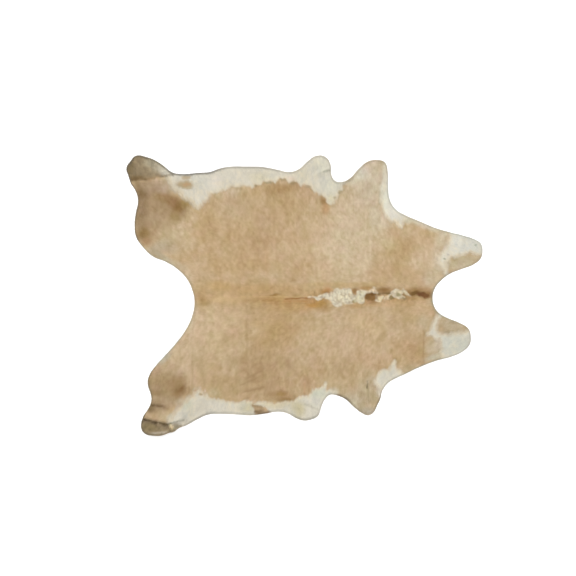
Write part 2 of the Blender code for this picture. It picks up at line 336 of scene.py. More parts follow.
SHADES = (
    # place, x, y, half length, half width, colour, strength, degrees of turn
    ("left shoulder", 303, 408, 192, 294, "#cfbda0", 0.75),
    ("left shoulder's pale top", 111, 408, 77, 115, "#cfb594", 0.5),
    ("below the left shoulder", 182, 319, 77, 77, "#d0bd9e", 0.5),
    ("left fore leg", 419, 754, 128, 154, "#cebfa6", 0.95),
    ("pale hind side of the left fore leg", 358, 794, 40, 45, "#dbd5c5", 0.85, 30),
    ("brown spot of the left fore leg", 399, 696, 30, 34, "#bca88a", 0.6),
    ("left fore leg's outer strip", 515, 728, 16, 120, "#e2dccb", 0.9),
    ("left ribs", -125, 293, 109, 90, "#c6ab8c", 0.35),
    ("pale belly side", -458, 677, 50, 42, "#ccbb9f", 0.7),
    ("brown spot under the left armpit", 131, 504, 24, 50, "#bda280", 0.5),
    ("brown spot of the left shoulder", -49, 492, 26, 55, "#b99b76", 0.5),
    ("left flank's top", -465, 524, 90, 51, "#c3aa8a", 0.5),
    ("right loin", -554, -244, 150, 166, "#cfb893", 0.6),
    ("pink of the right loin", -458, -231, 50, 45, "#cba98b", 0.6),
    ("right thigh's inner side", -759, -347, 100, 150, "#ceb998", 0.6),
    ("pale inner rim of the right thigh", -733, -142, 26, 90, "#d9caae", 0.7),
    ("pale top of the right hock", -810, -481, 90, 50, "#cdb696", 0.9),
    ("pale top of the right thigh", -669, -206, 85, 75, "#d4be9d", 0.5),
    ("right ribs", 188, -257, 192, 154, "#ccb493", 0.55),
    ("pale spot of the right shoulder", 521, -340, 40, 36, "#d4bfa0", 0.65),
    ("pale side of the withers", 374, -155, 76, 48, "#d3b993", 0.5),
    ("fore end of the withers' pale side", 432, -200, 55, 40, "#d6bc96", 0.5),
    ("right shoulder's pale side", 265, -360, 64, 90, "#ccb595", 0.4),
    ("left side of the neck", 771, 216, 77, 90, "#ccb899", 0.65),
    ("left neck's grey side", 850, 222, 32, 85, "#cfc1a8", 0.85),
    ("left thigh", -977, 562, 141, 166, "#a38866", 0.85),
    ("pale middle of the left thigh", -957, 505, 36, 36, "#b79f80", 0.6),
    ("left thigh's hind side", -1060, 560, 45, 150, "#957c5c", 0.8),
    ("inner left thigh", -823, 383, 96, 90, "#c5b190", 0.8),
    ("pale rim by the tail", -759, 165, 60, 45, "#ccb594", 0.6, -35),
    ("brown spot of the inner left thigh", -855, 310, 40, 36, "#b29a80", 0.6),
    ("inner left thigh by the rim", -938, 306, 77, 38, "#b3a58a", 0.7, 30),
    ("olive rim of the inner left thigh", -913, 250, 85, 20, "#b2a489", 0.8, -30),
    ("left thigh's dark hollow", -1021, 402, 38, 38, "#907444", 0.9),
    ("left thigh's orange hollow", -1009, 351, 29, 22, "#a5825c", 0.7),
    ("left shank's dark hollow", -1034, 658, 36, 30, "#836a48", 0.85),
    ("dark line of the left shank's heel", -1053, 684, 18, 50, "#8b714b", 0.6, 20),
    ("left shank, cream below the crease", -868, 742, 38, 24, "#c8baa1", 0.85, 4),
    ("left shank's pink side", -935, 690, 70, 34, "#a98f76", 0.8),
    ("left shank, brown below the crease", -1009, 703, 60, 30, "#a58c6d", 0.6),
    ("left stifle's brown side", -881, 696, 42, 42, "#b8a489", 0.7),
    ("left hock", -800, 560, 48, 44, "#80602f", 0.97, -20),
    ("left hock's hind side", -850, 606, 55, 36, "#94724a", 0.85, -20),
    ("left hock's fore side", -760, 590, 34, 32, "#9c8250", 0.85),
    ("left hock's olive trail", -829, 505, 34, 42, "#9f8557", 0.8),
    ("brown at the left stifle's tip", -733, 524, 40, 40, "#c2a985", 0.5),
    ("brown of the left loin's hind side", -625, 428, 75, 75, "#b5976c", 0.6),
    ("left hock's brown lead", -906, 632, 51, 26, "#9e8057", 0.75, -10),
    ("right thigh", -925, -564, 118, 92, "#b09673", 0.9),
    ("right thigh's pink side", -938, -485, 50, 32, "#bd9f80", 0.8),
    ("pale side of the right thigh", -860, -470, 55, 30, "#c4ab88", 0.5, 35),
    ("right hock", -805, -587, 38, 54, "#866238", 0.97),
    ("right hock's hind side", -855, -584, 46, 34, "#a98c64", 0.7),
    ("right hock's upper side", -810, -545, 51, 32, "#ab8f66", 0.8),
    ("right hock's foot", -829, -648, 44, 26, "#a07f55", 0.75),
    ("right thigh's dark hollow", -938, -622, 58, 20, "#9b8057", 0.7, -8),
    ("right thigh's khaki hollow", -925, -539, 64, 32, "#a68e60", 0.6),
    ("right shank above the fold", -893, -673, 90, 32, "#ae9675", 0.8),
    ("right shank's brown heel", -992, -716, 44, 30, "#826c49", 0.95),
    ("right shank's brown bend", -925, -718, 50, 22, "#94795a", 0.7),
    ("right shank's cream side", -900, -763, 51, 32, "#c3ae8b", 0.8, -20),
    ("right stifle's brown rim", -733, -622, 19, 38, "#a78d66", 0.7, -15),
    ("tail root", -657, -1, 26, 58, "#b49565", 0.6),
    ("left loin", -470, 370, 120, 120, "#bb9e76", 0.35),
    ("yellow rump", -554, 66, 80, 28, "#c2a16c", 0.6),
    ("dark of the tail root", -637, -40, 36, 24, "#ab8a58", 0.6),
    ("left loin's dark middle", -298, 351, 77, 64, "#b3946c", 0.5),
    ("left loin, low", -426, 204, 141, 58, "#bc9f73", 0.45),
    ("brown of the back's left side", -49, 140, 28, 40, "#b5946a", 0.5),
    ("brown line of the left loin", -241, 216, 22, 110, "#b8976b", 0.5),
    ("brown of the left ribs", -234, 472, 70, 80, "#b39570", 0.55),
    ("warm back", -285, 44, 294, 32, "#bb9866", 0.6),
    ("pale part of the warm back", -509, -14, 75, 26, "#d0b489", 0.65),
    ("warm back, under the spine line", -75, -66, 130, 38, "#bf965f", 0.6),
    ("back's dark spot", -193, 4, 30, 9, "#927041", 0.95, 8),
    ("brown round the back's dark spot", -200, -22, 85, 26, "#b28b4e", 0.65),
    ("left belly side", -138, 684, 90, 38, "#ad8e60", 0.9),
    ("left girth", -170, 536, 90, 102, "#b69b70", 0.5),
    ("left flank", -465, 581, 154, 58, "#bba280", 0.5),
    ("olive patch of the left neck", 611, 293, 90, 77, "#b99d70", 0.75),
    ("left neck by the white", 828, 376, 36, 55, "#bfa680", 0.8),
    ("cream border of the left cheek", 888, 393, 24, 20, "#d3c5b1", 0.9),
    ("pale side of the left brisket", 511, 658, 24, 60, "#eae5da", 1.0),
    ("pale neck by the left brisket", 508, 485, 45, 60, "#d2c2a8", 0.75),
    ("pale hair by the left brisket", 451, 515, 34, 95, "#cfc0a7", 0.75),
    ("pale edge of the left neck", 739, 466, 145, 20, "#d2c8b2", 0.8, -21),
    ("pale foot of the left cheek", 796, 114, 40, 50, "#ccbba2", 0.75),
    ("pale side of the left neck", 662, 402, 50, 40, "#ccb696", 0.5),
    ("khaki hind side of the left neck", 540, 337, 40, 36, "#ccbb95", 0.7),
    ("left neck's grey border", 847, 293, 30, 44, "#cdbb9f", 0.8),
    ("olive top of the left neck", 873, 357, 36, 40, "#cfbea3", 0.95),
    ("above the crest", 579, 140, 192, 51, "#bb9c72", 0.5),
    ("right back", -170, -187, 140, 150, "#bb9b68", 0.6),
    ("pale right back", -394, -129, 45, 40, "#cfb591", 0.65),
    ("brown spot of the right ribs", -106, -436, 32, 44, "#a88a61", 0.6),
    ("second brown spot of the right loin", -471, -411, 40, 38, "#b0946d", 0.5),
    ("brown spot of the right loin", -509, -283, 36, 48, "#b2946c", 0.5),
    ("pale spot by the spine", 3, -65, 50, 22, "#cbac7c", 0.6),
    ("rippled flank", -273, -500, 141, 115, "#b0926a", 0.7),
    ("right flank", -529, -577, 141, 77, "#b89e74", 0.65),
    ("right belly side", -138, -641, 90, 40, "#ae9066", 0.9),
    ("right belly side's middle", -119, -664, 38, 13, "#97794b", 0.85),
    ("olive spot of the right belly side", -150, -630, 32, 18, "#9e7f49", 0.7),
    ("right girth", 15, -571, 32, 58, "#b99a74", 0.7),
    ("right neck", 662, -347, 109, 83, "#be9f75", 0.7),
    ("pale top of the right neck", 739, -97, 80, 55, "#cdb28c", 0.55),
    ("grey side of the right neck", 764, -172, 40, 50, "#c4b296", 0.6),
    ("right neck by the fold", 739, -372, 38, 45, "#b49869", 0.7),
    ("right neck's grey border", 828, -340, 45, 62, "#c2b293", 0.85),
    ("grey hair by the right neck's rim", 812, -396, 50, 15, "#bfb095", 0.8, 22),
    ("right fore leg", 393, -628, 90, 102, "#b8a887", 0.85),
    ("brown of the right shoulder", 259, -456, 60, 62, "#b59a74", 0.55),
    ("right fore leg's brown side", 245, -610, 60, 28, "#bba47e", 0.7),
    ("right fore leg's end", 393, -742, 60, 28, "#b3a792", 0.9),
    ("pale side of the right brisket", 486, -609, 24, 46, "#d8cfbd", 0.9),
    ("pale hind side of the right fore leg", 303, -680, 70, 50, "#c8bca3", 0.8, -30),
    ("left cheek's tan patch", 1014, 216, 115, 48, "#c1b394", 0.9, 12),
    ("right cheek's tan patch", 950, -190, 100, 48, "#beae90", 0.9, -18),
    ("right cheek's dark border", 911, -232, 38, 10, "#b3a387", 0.8),
    ("armpit spot", 127, 600, 22, 35, "#a98659", 0.97, 28),
    ("armpit spot's orange foot", 131, 556, 26, 32, "#bb936a", 0.8),
    ("brown before the white", 131, 29, 34, 15, "#b08752", 0.9),
    ("brown notch in the white", 318, 32, 19, 18, "#a57f50", 0.9),
    ("brown under the white's tail", 100, -50, 50, 30, "#b18a4e", 0.9),
    ("tan under the tail's brown", 137, -84, 34, 24, "#b08e5c", 0.7),
    ("brown under the white", 387, -58, 179, 13, "#c9a97e", 0.5),
    ("pale hair under the white", 246, -49, 56, 11, "#dac8a8", 0.7),
    ("brown over the white", 259, 72, 256, 16, "#c0a372", 0.6),
    ("brown under the eye spot", 425, -44, 35, 13, "#b08a62", 0.85),
    ("crest", 783, 6, 38, 25, "#936c3e", 0.9),
    ("hind part of the crest", 692, 24, 66, 22, "#8a6637", 0.85, 6),
    ("brown over the crest's white", 508, 34, 50, 20, "#957142", 0.95),
    ("brown over the eye spot", 393, 50, 40, 12, "#ad8653", 0.8),
    ("over the crest", 715, 40, 95, 13, "#ad8b59", 0.45),
    ("pink below the crest", 726, -40, 77, 12, "#c5a681", 0.8),
    ("pale spot of the flank's ripples", -148, -562, 45, 36, "#c4a882", 0.55),
    ("grey rim of the inner right thigh", -893, -396, 48, 22, "#c6c1ae", 0.65, 48),
    ("pale foot of the crest", 801, -44, 24, 22, "#cdb997", 0.7),
    ("olive over the right stifle", -580, -626, 36, 26, "#c5b592", 0.6),
    ("pale spot of the left flank", -552, 645, 32, 22, "#d2c0a2", 0.6),
    ("pale corner of the left armpit", 302, 742, 36, 28, "#d6cdb9", 0.6, 40),
    ("grey edge of the left cheek's white", 908, 275, 24, 56, "#dad7ca", 0.6),
    ("pink spot of the left girth", -17, 598, 36, 30, "#caae8c", 0.6),
    ("grey side of the right throat", 668, -460, 48, 22, "#b5a581", 0.6, 24),
    ("orange over the white's tail", 150, 44, 26, 12, "#b98b52", 0.6),
    ("pale edge of the right stifle's white", -790, -684, 28, 28, "#d0c6af", 0.5),
    ("pale edge of the right cheek's white", 858, -312, 22, 46, "#d5ccb9", 0.5),
    ("grey rim of the left rump", -812, 200, 62, 22, "#c8b99b", 0.6, -28),
    ("fore end of the left brisket's white", 650, 486, 32, 20, "#dbd6c2", 0.6, -25),
    ("grey hind side of the right cheek", 838, -394, 42, 18, "#c9c1ac", 0.6, 14),
    ("olive tip of the right fore leg", 372, -704, 30, 32, "#ab9872", 0.5),
    ("pale edge under the left island", -816, 692, 26, 26, "#d7d2c3", 0.5),
    ("pale band below the left crease", -932, 730, 46, 22, "#c2ac8f", 0.5, 4),
    ("pale rim of the right butt", -700, -110, 20, 42, "#d1be9d", 0.6),
    ("pale rim of the left butt", -743, 122, 24, 38, "#cdbb9c", 0.5, 30),
    ("pale fore side of the right shoulder", 408, -385, 42, 38, "#d2b897", 0.45),
    ("orange under the white's tail", 45, -58, 40, 14, "#c39652", 0.7),
    ("brown behind the eye spot", 323, -70, 32, 12, "#b78f5c", 0.5),
    ("grey hind side of the right throat", 425, -545, 36, 34, "#c6b79c", 0.5),
    ("pale foot of the right stifle", -853, -774, 30, 18, "#d8d3c3", 0.55, 25),
    ("pale fore side of the right armpit", 184, -616, 28, 26, "#d5d1c2", 0.55),
)
SHANK_SHADES = (
    # place, x, y, half length, half width, colour, strength, degrees of turn
    ("left shank's dark heel", -1112, 815, 24, 62, "#776648", 0.85, -12),
    ("left shank's fore toe", -991, 850, 38, 24, "#aea48b", 0.8),
    ("left shank's fore part", -948, 840, 44, 50, "#b6ab93", 0.9),
    ("left shank's pale wedge", -887, 790, 52, 24, "#d3ccbc", 1.0, -30),
    # The left shank's brown foot is painted shade along its crease.
    ("left shank's brown foot", -1073, 757, 42, 12, "#765c36", 0.9, 4),
    ("right shank's dark sole", -989, -840, 55, 28, "#8a7954", 0.85, -5),
)
WHITE_SHADES = (
    # place, x, y, half length, half width, colour, strength, degrees of turn
    ("left stifle's cool white", -682, 716, 58, 45, "#cdcabf", 0.7),
    ("left stifle's cream", -810, 709, 38, 38, "#ccc1ac", 0.7),
    ("left belly's pink", -567, 741, 38, 38, "#dbd2c8", 0.6),
    ("left belly's cream", -273, 760, 77, 32, "#d7cdaf", 0.6),
    ("left belly's pink, fore", -87, 748, 32, 19, "#e2d0bd", 0.75),
    ("left flap, hind", -10, 767, 38, 51, "#d5ceb7", 0.5),
    ("left flap's grey", 111, 831, 51, 58, "#dcd8c6", 0.7),
    ("left flap's foot", 163, 703, 58, 51, "#d5d2bf", 0.5),
    ("left armpit's cream", 163, 620, 26, 32, "#d9cfad", 0.7),
    ("left brisket's white", 559, 530, 51, 51, "#e1dcd1", 0.8),
    ("left brisket's bright strip", 511, 625, 26, 100, "#e6e3d3", 0.9),
    ("left cheek's white", 1020, 332, 95, 60, "#dedcd3", 0.9),
    ("grey tip of the left cheek", 1091, 306, 28, 40, "#cfcdc2", 0.8),
    ("left cheek's neck side", 886, 216, 26, 58, "#dcd7ca", 0.85),
    ("right cheek's white", 969, -315, 96, 70, "#cecdc0", 0.9),
    ("right brisket's white", 515, -520, 58, 51, "#dad4c4", 0.8),
    ("right stifle's green white", -746, -705, 38, 32, "#c9c8b4", 0.8),
    ("right stifle's pink white", -669, -712, 51, 38, "#d1c9b8", 0.8),
    ("grey of the right stifle's foot", -746, -765, 40, 22, "#c5c0b2", 0.8, 20),
    ("right belly's cream", -369, -712, 51, 38, "#cfc4a0", 0.85),
    ("right belly, fore", -183, -694, 95, 28, "#d2c5a7", 0.8),
    ("right flap's khaki", -47, -722, 40, 48, "#c6ba90", 0.75),
    ("right armpit's green white", 86, -622, 51, 32, "#cfd0bb", 0.7),
    ("white of the withers", 239, -3, 78, 50, "#e1d8bd", 0.8),
    ("cream behind the eye spot", 361, -8, 30, 42, "#d8d0ad", 0.8),
    ("pink over the eye spot", 438, 37, 32, 16, "#e8c9a6", 0.9),
    ("cream before the eye spot", 489, -20, 36, 26, "#e2d2a6", 0.85),
    ("tan side of the crest's strand", 527, -17, 24, 22, "#cfb08b", 0.9),
    ("cream of the crest's white", 611, 12, 48, 34, "#dccba2", 0.8),
)
MARKS = (
    # mark, x, y, half length, half width, colour, ragged edge, degrees of turn
    ("eye spot on the back", 425, -8, 38, 25, "#8a6433", 3),
    ("eye spot's dark side", 399, -4, 12, 18, "#7e5d34", 2),
    ("eye spot's dark top", 433, 12, 27, 9, "#75532a", 2),
    ("dark fleck in the crest's white", 601, 8, 16, 10, "#a29670", 3),
    ("dark fleck behind the crest's white", 557, -9, 15, 8, "#8d7a50", 4, -20),
    ("dark fleck under the crest's white", 636, -15, 17, 7, "#96805a", 4, -15),
    ("fleck in the white", 316, -36, 14, 9, "#a59368", 3),
    ("low fleck in the white", 246, -51, 8, 8, "#c2b18e", 2),
    ("olive flecks behind the eye spot", 324, -32, 9, 13, "#c6bc9a", 6),
    ("dark crest, hind", 699, 18, 30, 13, "#76572a", 4, 28),
    ("dark crest", 740, 14, 24, 16, "#6d4522", 6, -10),
    ("dark crest, fore", 769, 0, 27, 14, "#7a502c", 6, -6),
    ("island in the left white", -765, 711, 48, 25, "#b5a07c", 6, -6),
    ("island's orange middle", -753, 714, 23, 10, "#bd9e78", 5, -5),
    ("island's dark foot", -753, 690, 31, 6, "#bbab8c", 3, -3),
    ("small island", -759, 757, 26, 13, "#bca98a", 5),
    ("tooth of the right belly", -324, -680, 10, 10, "#cbb596", 4),
    ("brown side of the right stifle's peak", -737, -603, 11, 17, "#ab8f68", 6),
    ("speck of the right stifle's peak", -701, -609, 9, 6, "#bfa183", 4),
    ("low speck of the right stifle's peak", -663, -630, 14, 6, "#b29c7a", 4, -8),
    ("pink speck over the right stifle", -669, -587, 10, 8, "#d0b89d", 5),
    ("pink speck by the right stifle", -637, -609, 9, 8, "#d6c0a8", 4),
    ("left cheek's upper fleck", 918, 265, 8, 6, "#c0b8ab", 2),
    ("left cheek's lower fleck", 896, 239, 8, 6, "#a8a590", 2),
    ("left cheek's far fleck", 1091, 325, 9, 6, "#b4b6a3", 2),
    ("left belly's dark tooth", -71, 722, 20, 10, "#a58e68", 4, -8),
    ("left belly's high tooth", -141, 744, 22, 8, "#ae9a78", 3, -10),
    ("left belly's olive tooth", -231, 723, 28, 6, "#a6997a", 4, 6),
    ("left belly's hind tooth", -312, 705, 8, 8, "#a08d69", 2),
    ("left girth's tooth", 22, 701, 22, 7, "#b3a083", 3),
    ("left armpit's tooth", 230, 669, 14, 10, "#ab9a78", 3, 35),
    ("left armpit's low tooth", 195, 630, 10, 8, "#b9aa8a", 3),
    ("left armpit's high tooth", 259, 703, 13, 10, "#c2ab8a", 3),
)
# Streaks of the coat's own colour, such as the spine line, and painted shade and painted light along the
# packing folds, the flank's ripples, the shanks' creases, the right shank's knuckle and twist and the elbow
# flaps' wrinkles.
STREAKS = (
    # streak, x1, y1, x2, y2, half width, colour, strength
    ("spine line", -125, -20, 54, -13, 5, "#956232", 0.97),
    ("faint spine line", -266, -30, -196, -27, 9, "#a9844f", 0.6),
    ("orange band under the spine line", -132, -35, 47, -33, 10, "#bd905c", 0.75),
    ("light over the spine line", -413, -6, 28, -6, 4, "#d0b27f", 0.5),
    ("low spine line", -234, -51, 47, -49, 4, "#ad8756", 0.5),
    ("parting of the neck by the nape", 611, -36, 662, -43, 5, "#b9a06f", 0.5),
    ("brown smudge of the back", -394, -29, -330, -33, 11, "#ab8858", 0.6),
    ("pale line over the spine", -586, -27, -401, -24, 18, "#d1b688", 0.6),
    ("pale line by the white", 22, -8, 60, -8, 4, "#e6d2b2", 0.7),
    ("dark line under the white's tail", 163, 17, 105, 19, 5, "#977243", 0.6),
    ("dark line by the eye spot", 473, 10, 543, 18, 7, "#6f582e", 0.9),
    ("pink edge of the white", 159, -27, 169, -65, 6, "#d9bd98", 0.6),
    ("hair parting over the neck", 591, 95, 745, 165, 8, "#b09169", 0.3),
    ("first packing fold, left", -692, -59, -730, -315, 6, "#b0936c", 0.3),
    ("first packing fold", -730, -315, -730, -616, 6, "#d0b898", 0.55),
    ("shade of the first packing fold", -717, -360, -717, -603, 6, "#ad9069", 0.35),
    ("second packing fold", -371, -65, -366, -622, 8, "#a98a60", 0.35),
    ("light of the second packing fold", -353, -65, -348, -622, 6, "#ccb18e", 0.25),
    ("packing fold of the neck", 764, 261, 758, 82, 6, "#b0926d", 0.35),
    ("packing fold of the right neck", 762, -225, 758, -424, 6, "#a58458", 0.6),
    ("rib fold", 102, 524, 102, 216, 6, "#cdb594", 0.3),
    ("slit by the right fore leg", 399, -548, 401, -590, 5, "#65583c", 0.8),
    ("line of the right fore leg", 406, -590, 412, -692, 5, "#9c8b68", 0.4),
    ("brown streak of the right girth", 22, -526, 26, -622, 6, "#ab8a62", 0.5),
    ("orange streak of the right girth", -1, -564, -1, -622, 7, "#c69f79", 0.6),
    ("upper ripple of the flank", -381, -532, -273, -481, 6, "#a1845a", 0.5),
    ("middle ripple of the flank", -413, -571, -298, -526, 6, "#a08257", 0.5),
    ("lower ripple of the flank", -394, -616, -260, -587, 6, "#9e8056", 0.55),
    ("light between the ripples", -394, -590, -273, -552, 6, "#c3a67c", 0.45),
    ("left shank's crease, hind", -1105, 744, -1012, 748, 10, "#735b37", 0.9),
    ("left shank's crease, fore", -1009, 750, -905, 764, 6, "#8f7652", 0.8),
    ("left shank's crease, grey end", -925, 764, -842, 775, 6, "#766c59", 0.9),
    ("shade above the left crease", -1090, 768, -1000, 766, 12, "#927c5a", 0.4),
    ("right shank's crease", -1031, -794, -871, -827, 12, "#473820", 1.0),
    ("right shank's crease, hind", -1034, -790, -990, -800, 7, "#352a14", 0.9),
    ("right shank's crease, middle", -970, -806, -906, -819, 5, "#54442a", 0.65),
    ("right shank's crease, fore", -893, -820, -855, -862, 6, "#6e5b3c", 0.8),
    ("upper right crease", -984, -700, -912, -706, 7, "#5f4828", 0.95),
    ("upper right crease's end", -925, -703, -899, -712, 7, "#8f7350", 0.6),
    ("cream knuckle of the right shank", -861, -826, -847, -858, 8, "#ead9ab", 0.95),
    ("dark twist of the right shank", -829, -819, -791, -833, 8, "#7d663f", 0.85),
    ("brown foot of the right shank's twist", -838, -830, -812, -844, 9, "#7b6745", 0.9),
    ("dark toe of the right shank", -862, -867, -829, -860, 7, "#4c4836", 0.7),
    ("pale rim of the right shank", -977, -879, -884, -872, 6, "#c9bca9", 0.9),
    ("line over the right knuckle", -868, -820, -817, -808, 5, "#67634b", 0.9),
    ("line over the right knuckle, fore", -817, -804, -772, -792, 5, "#87836e", 0.8),
    ("olive foot of the right knuckle", -836, -852, -810, -833, 7, "#858163", 0.7),
    ("grey of the right knuckle", -829, -814, -759, -804, 9, "#bfb6a6", 0.7),
    ("shade of the left flap's wrinkle", 83, 778, 121, 796, 5, "#bab49f", 0.6),
    ("dark end of the left flap's wrinkle", 121, 796, 169, 808, 6, "#959280", 0.8),
    ("light of the left flap's wrinkle", 86, 797, 143, 818, 8, "#dedac9", 0.4),
    ("shade of the right flap's wrinkle", -1, -692, 41, -708, 7, "#b5ae98", 0.7),
    ("shade of the right flap's wrinkle, low", 41, -708, 92, -731, 6, "#b9b29d", 0.6),
    ("light of the right flap's wrinkle", 41, -689, 89, -714, 8, "#dcd8c7", 0.6),
    ("light of the left flap", 68, 869, 68, 664, 10, "#dcd4be", 0.5),
    ("light line of the left flank", 69, 453, 70, 229, 8, "#c9b494", 0.25),
    ("dark streak of the left armpit", 246, 713, 291, 744, 6, "#9d8a6b", 0.6),
    ("dark foot of the belly patch", -317, -742, -266, -737, 9, "#6e5632", 0.75),
    ("dark top of the belly patch", -330, -703, -273, -712, 7, "#8a7146", 0.6),
)
# Painted shade along the cut edge: places where its dark line is darker, greyer or lighter.
RIMS = (
    # place, x, y, half length, half width, colour, strength, degrees of turn
    ("left shank's end", -1002, 882, 218, 90, "#5f5948", 0.75),
    ("left shank's hind side", -1117, 754, 51, 115, "#655b4f", 0.75),
    ("left stifle", -690, 790, 210, 40, "#5c5b52", 0.9),
    ("left belly", -349, 824, 166, 32, "#8f8c82", 0.5),
    ("left thigh", -1066, 453, 51, 218, "#75684c", 0.7),
    ("right shank's end", -1015, -884, 60, 40, "#6b5f45", 0.7),
    ("right shank's toe", -906, -884, 60, 22, "#8d8068", 0.6),
    ("right shank's heel", -1030, -800, 30, 50, "#5f5238", 0.8),
    ("right thigh", -989, -564, 51, 128, "#736444", 0.6),
    ("right stifle", -695, -782, 115, 51, "#858170", 0.6),
    ("right flap", 9, -788, 77, 32, "#86826f", 0.6),
    ("right belly's patch", -273, -750, 51, 19, "#57432a", 0.8),
    ("foot of the right belly's patch", -298, -750, 30, 14, "#5c4a30", 0.7),
    ("right fore leg", 303, -692, 102, 77, "#9d9079", 0.6),
    ("right fore leg's hind side", 259, -654, 70, 44, "#64563d", 0.8),
    ("right fore leg's fore side", 470, -680, 34, 80, "#857c63", 0.7),
    ("right neck", 739, -449, 170, 60, "#b3b09a", 0.8, 22),
    ("nape", 815, -1, 26, 102, "#8f7d5c", 0.5),
    ("hollow of the neck", 905, -10, 115, 190, "#949583", 0.6),
    ("left neck", 764, 460, 170, 60, "#c5bca8", 0.85, -20),
    ("left brisket's rim", 566, 613, 60, 140, "#d2d1c4", 0.95),
    ("left cheek's rim", 1033, 357, 130, 50, "#c3c5b8", 0.8, -25),
    ("inner right thigh", -874, -360, 130, 60, "#bebdaf", 0.75, 40),
    ("inner left thigh", -913, 242, 170, 60, "#b5ab95", 0.8, -30),
)

SHADE_REACH = 2  # half sizes, beyond which a shade has faded
SHADE_FALL = 0.7  # leaves half of its strength at the half sizes
FIRM_UNDER, LOOSE_OVER, LEAST_WANDER = 20, 80, 0.12  # shades 20 mm wide stay, ones of 100 mm wander
RING_MARGIN = 60  # mm round a ring, within which its border is worked out
FAR_OUT = -99.0  # mm inside a ring, for all the points beyond that
PATTERNS = {
    # pattern: its mottles. Locks and grain are drawn coarser than hair, which is too fine to show.
    "locks": ((1, 15, 0.6, 3), (0.7, 30, 0.6, 4)),
    "grain": ((1, 10, 1, 10), (0.8, 19, 1, 13)),
    "hue": ((1, 50, 1, 31), (0.6, 22, 1, 32)),
    "partings": ((1, 26, 0.55, 33),),
    "teeth": ((1, 24, 0.6, 8), (0.9, 12, 0.6, 9), (0.4, 6, 0.7, 17)),
    "curls": ((1, 8, 1, 12), (0.5, 13, 1, 34)),
    "wander x": ((28, 80, 1, 6), (20, 30, 1, 15)),
    "wander y": ((28, 80, 1, 7), (20, 30, 1, 16)),
    "pale tan": ((0.35, 120, 1, 1), (0.3, 45, 1, 2)),
    "reddish tan": ((-0.3, 95, 1, 5),),
    "cream": ((0.3, 60, 1, 18),),
    "cool grey": ((0.35, 75, 1, 19),),
}
TONES = {
    # hair: how much lighter its locks, grain and partings are, and each hair by its own number
    "tan": (0.080, 0.072, -0.03, 0.11),
    "white": (0.035, 0.04, -0.03, 0.05),
    "taupe": (0.12, 0.16, 0, 0.12),
    "patch": (0, 0.1, 0, 0.08),
}
CLOUDS = {
    # cloud: colour, usual share, largest share, and how far the share follows locks, grain and hue
    "pale tan": (PALE_TAN, 0.15, 1, 0, 0, 0),
    "reddish tan": (REDDISH_TAN, 0.1, 1, -0.15, 0, -0.2),
    "cream": (CREAM, 0, 0.5, 0, 0.2, 0),
    "cool grey": (COOL_GREY, 0, 0.5, -0.15, 0, 0),
}
PARTING_WIDTH = 0.14  # on either side of nothing, in the pattern's own measure
TONE_CHANNELS = (0.80, 1.0, 1.42)  # how far red, green and blue follow a tan hair's tone
HUE_CHANNELS = (0.016, -0.012, 0.025)
SPINE_HALF_WIDTH, SPINE_SHARE = 48, 0.35
WHITE_LEVEL = 0.995  # of the hex colours, for the white hairs as a whole
MIXED_BY_HAIR = 0.35  # how far a hair's own number decides whether it's white where the colours blend
BORDER_WIDTH, BORDER_SHARE, BORDER_EVEN, BORDER_MOST = 8, 0.22, 0.5, 1.5
CREAM_INSIDE, CREAM_WIDTH, CREAM_SHARE = 5, 12, 0.5  # the cream line inside the white's border
BACK_HALF_WIDTH = 90
ROAN_STARTS, ROAN_BLEND, ROAN_BY_HAIR, ROAN_SHARE = 0.2, 0.4, 0.5, 0.42
CREASE_STOPS, CREASE_FADES = 1.08, 0.15
TAUPE_FRAY, TAUPE_BLEND, TAUPE_SHARE = 4, 12, 0.96
PATCH_FRAY, PATCH_BLEND, PATCH_SHARE = 5, 9, 0.9
MARK_ENDS, MARK_FADES, MARK_BY_HAIR, MARK_SHARE = 1.3, 0.6, 0.15, 0.92  # ends and fades in half sizes
STREAK_FRAY, STREAK_LEVEL, STREAK_GAPS = 2.5, 0.85, 0.3
# The rim's dark line is painted shade, standing for the shadow at the cut edge's thickness.
RIM_WIDTH, RIM_BLEND, RIM_SHARE = 8, 5, 0.42
RIM_WAVE = (1.5, 14, 1, 9)  # as one of the mottles
RIM_ENDS, RIM_FADES = 4 / 3, 2 / 3  # in half sizes


def blot(x, y, place, wander, turn=0):
    """How far out each point is from a place's middle, as a share of its half sizes, after its wander."""
    cx, cy, half_length, half_width = place
    cos, sin = math.cos(math.radians(turn)), math.sin(math.radians(turn))
    dx, dy = x - cx + wander[0], y - cy + wander[1]
    return np.hypot((dx * cos + dy * sin) / half_length, (dy * cos - dx * sin) / half_width)


def bell(reach, half_width):
    """One at no distance, and less on both sides: e to minus the squared share of the half width."""
    return np.exp(-((reach / half_width) ** 2))


def dyed(coat, colour, share):
    """The coat moved towards a colour by a share of the way."""
    return coat + (colour - coat) * share[:, None]


def tone(hair, look, odd):
    """How much lighter or darker each hair is: its patterns and its own number, weighed as in TONES."""
    parts = look["locks"], look["grain"], look["partings"], odd
    return sum(share * part for share, part in zip(TONES[hair], parts))[:, None]


def clouded(coat, cloud, look):
    """The coat dyed with one of the CLOUDS: its usual share plus its own pattern and what it takes from the
    others."""
    colour, usual, most, with_locks, with_grain, with_hue = CLOUDS[cloud]
    others = with_locks * look["locks"] + with_grain * look["grain"] + with_hue * look["hue"]
    return dyed(coat, colour, np.clip(usual + look[cloud] + others, 0, most))


